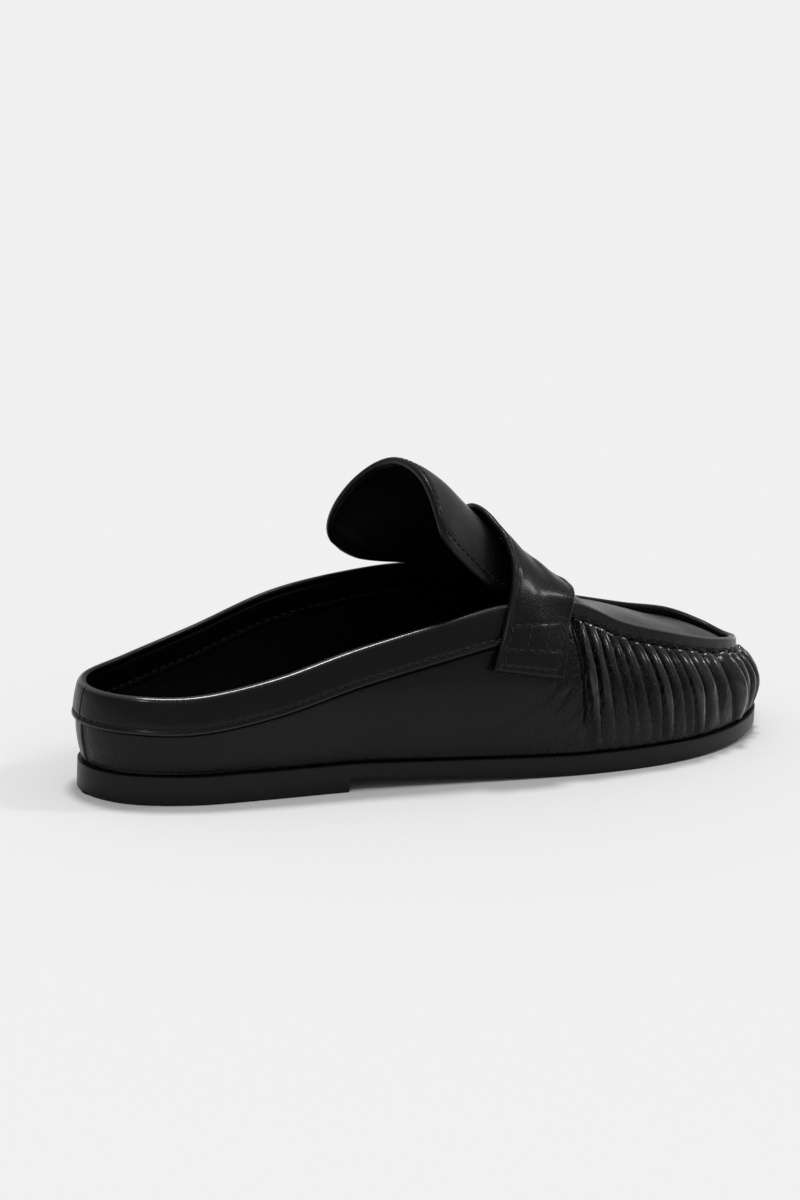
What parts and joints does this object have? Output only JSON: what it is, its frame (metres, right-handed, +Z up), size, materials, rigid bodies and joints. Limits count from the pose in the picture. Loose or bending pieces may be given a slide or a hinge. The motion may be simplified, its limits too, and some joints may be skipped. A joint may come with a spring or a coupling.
{
  "type": "loafer mule",
  "caption": "Backless loafer mule for the right foot with a low open collar, gathered moccasin toe, standing plug rim, tall arched tongue, saddle strap and a flat low-heeled sole.",
  "frame": {"origin": "middle of the heel's print on the floor, 36 mm in front of the back of the sole", "axes": "+X towards the toe, +Y to the medial side of the foot, +Z up"},
  "size_m": [0.2643, 0.0957, 0.1031],
  "materials": {
    "sole_rubber": "semi-matt",
    "heel_rubber": "semi-matt",
    "lining_leather": "matt, fine grain",
    "upper_leather": "smooth, half gloss",
    "tongue_leather": "smooth, half gloss",
    "strap_leather": "smooth, half gloss"
  },
  "bodies": {
    "root": {"outsole": "sole_rubber", "heel": "heel_rubber", "insole": "lining_leather", "upper": "upper_leather", "tongue": "tongue_leather", "strap": "strap_leather"}
  },
  "joints": []
}
